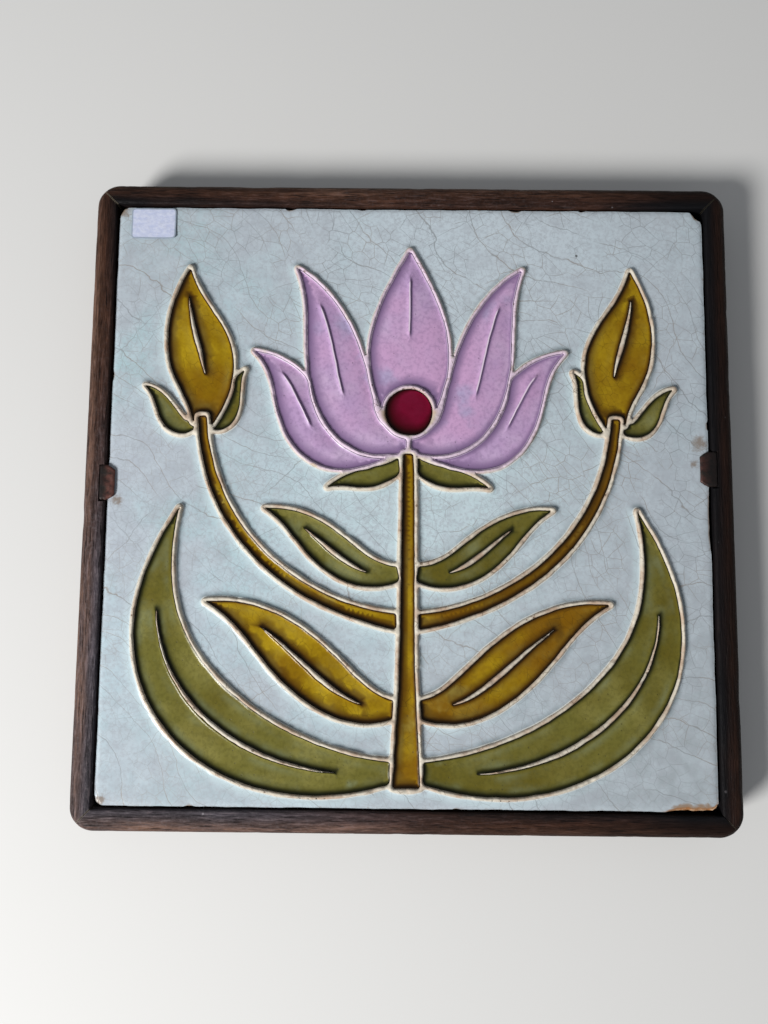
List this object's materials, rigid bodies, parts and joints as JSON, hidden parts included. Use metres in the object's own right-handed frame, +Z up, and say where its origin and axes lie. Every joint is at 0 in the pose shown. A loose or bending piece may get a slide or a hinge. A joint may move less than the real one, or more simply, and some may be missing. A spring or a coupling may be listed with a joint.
{
  "type": "framed tile coaster",
  "caption": "Square glazed relief tile with a water lily pattern, clipped inside a mitred dark wooden frame, for standing a hot pot or cup on.",
  "frame": {"origin": "middle of the underside, at the level of the table", "axes": "+Z up through the tile, +Y towards the top of the relief, +X to its right"},
  "size_m": [0.1622, 0.1622, 0.013],
  "materials": {
    "dark_wood": "dark stain, rubbed lighter along the edges",
    "board": "plain unfinished board",
    "card": "matt packing card",
    "clay": "cream clay, thinly glazed on the ridges",
    "glaze_blue": "glossy pale blue, finely crazed",
    "glaze_lilac": "glossy opaque lilac",
    "glaze_crimson": "glossy deep crimson",
    "glaze_amber": "glossy translucent amber",
    "glaze_olive": "glossy translucent olive",
    "copper": "dull brown sheet copper",
    "steel": "dull drawn wire",
    "label": "matt blank paper"
  },
  "bodies": {
    "root": {"rail_right": "dark_wood", "rail_top": "dark_wood", "rail_left": "dark_wood", "rail_bottom": "dark_wood", "base_board": "board", "packing_card": "card", "tile_body": "clay", "ground_glaze": "glaze_blue", "glaze_stem": "glaze_amber", "glaze_flower_heart": "glaze_crimson", "glaze_petal_middle": "glaze_lilac", "glaze_petal_inner_right": "glaze_lilac", "glaze_petal_inner_left": "glaze_lilac", "glaze_petal_outer_right": "glaze_lilac", "glaze_petal_outer_left": "glaze_lilac", "glaze_sepal_right": "glaze_olive", "glaze_sepal_left": "glaze_olive", "glaze_bud_stem_right": "glaze_amber", "glaze_bud_stem_left": "glaze_amber", "glaze_bud_right": "glaze_amber", "glaze_bud_left": "glaze_amber", "glaze_bud_leaf_inner_right": "glaze_olive", "glaze_bud_leaf_inner_left": "glaze_olive", "glaze_bud_leaf_outer_right": "glaze_olive", "glaze_bud_leaf_outer_left": "glaze_olive", "glaze_leaf_small_right": "glaze_olive", "glaze_leaf_small_left": "glaze_olive", "glaze_leaf_upper_right": "glaze_amber", "glaze_leaf_upper_left": "glaze_amber", "glaze_leaf_lower_right": "glaze_olive", "glaze_leaf_lower_left": "glaze_olive", "clip_left": "copper", "clip_right": "copper", "corner_brad_top_left": "steel", "corner_brad_top_right": "steel", "corner_brad_bottom_left": "steel", "corner_brad_bottom_right": "steel", "board_pin_left_1": "steel", "board_pin_left_2": "steel", "board_pin_right_1": "steel", "board_pin_right_2": "steel", "board_pin_bottom_1": "steel", "board_pin_bottom_2": "steel", "board_pin_top_1": "steel", "board_pin_top_2": "steel", "clip_pin_left": "steel", "clip_pin_right": "steel", "paper_label": "label"}
  },
  "joints": []
}
